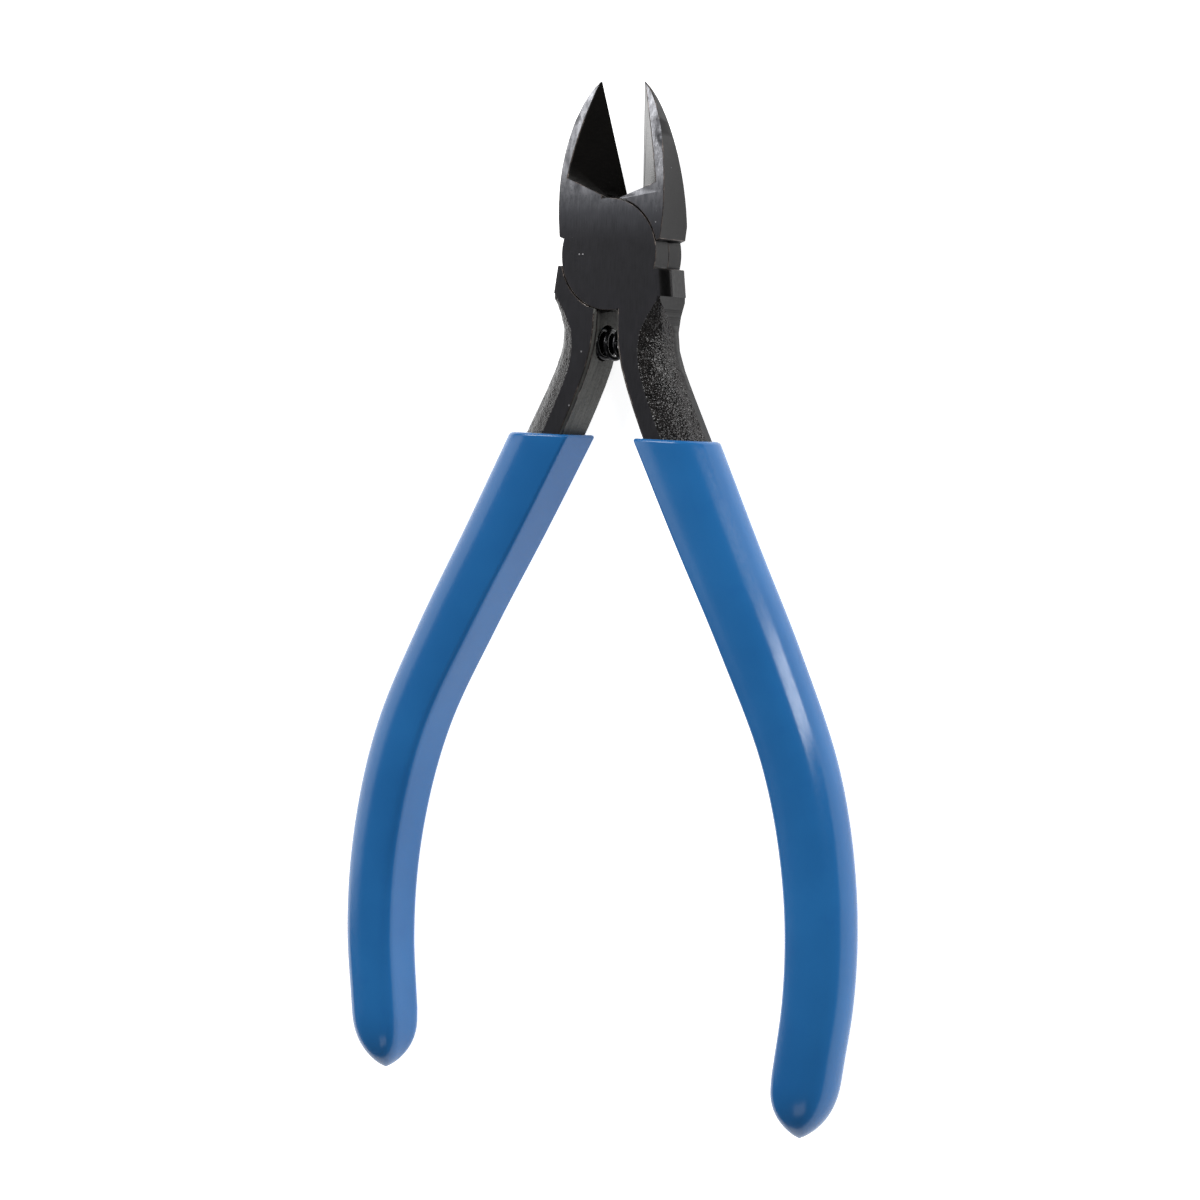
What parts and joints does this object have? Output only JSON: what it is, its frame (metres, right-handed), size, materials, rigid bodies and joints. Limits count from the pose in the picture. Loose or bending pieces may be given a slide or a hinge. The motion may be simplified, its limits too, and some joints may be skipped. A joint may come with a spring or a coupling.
{
  "type": "diagonal cutting pliers",
  "caption": "Small lap-joint diagonal cutting pliers with blackened steel jaws, a coil spring between the handles and dipped blue grips, half open.",
  "frame": {"origin": "on the pivot axis, in the joint's back face", "axes": "+Y along the tool towards the jaw tips, +Z out of the joint's front face, +X towards the front half's handle"},
  "size_m": [0.0736, 0.1263, 0.0078],
  "materials": {
    "blackened_steel": "satin black oxide, ground faces with a fine lengthwise grain, forged flanks left rough",
    "rivet_steel": "black oxide, ground flush with the joint",
    "spring_steel": "glossy black spring wire",
    "blue_vinyl": "glossy dipped vinyl"
  },
  "bodies": {
    "front_half_body": {"front_half": "blackened_steel", "pivot_rivet": "rivet_steel", "return_spring": "spring_steel", "right_grip": "blue_vinyl"},
    "back_half_body": {"back_half": "blackened_steel", "left_grip": "blue_vinyl"}
  },
  "joints": [
    {"name": "pivot", "type": "hinge", "parent": "front_half_body", "child": "back_half_body", "pos_m": [0, 0, 0.003], "axis": [0, 0, 1], "range_deg": [-26, 16.2], "stiffness_Nm_per_rad": 0.9, "deforming": ["return_spring"]}
  ]
}
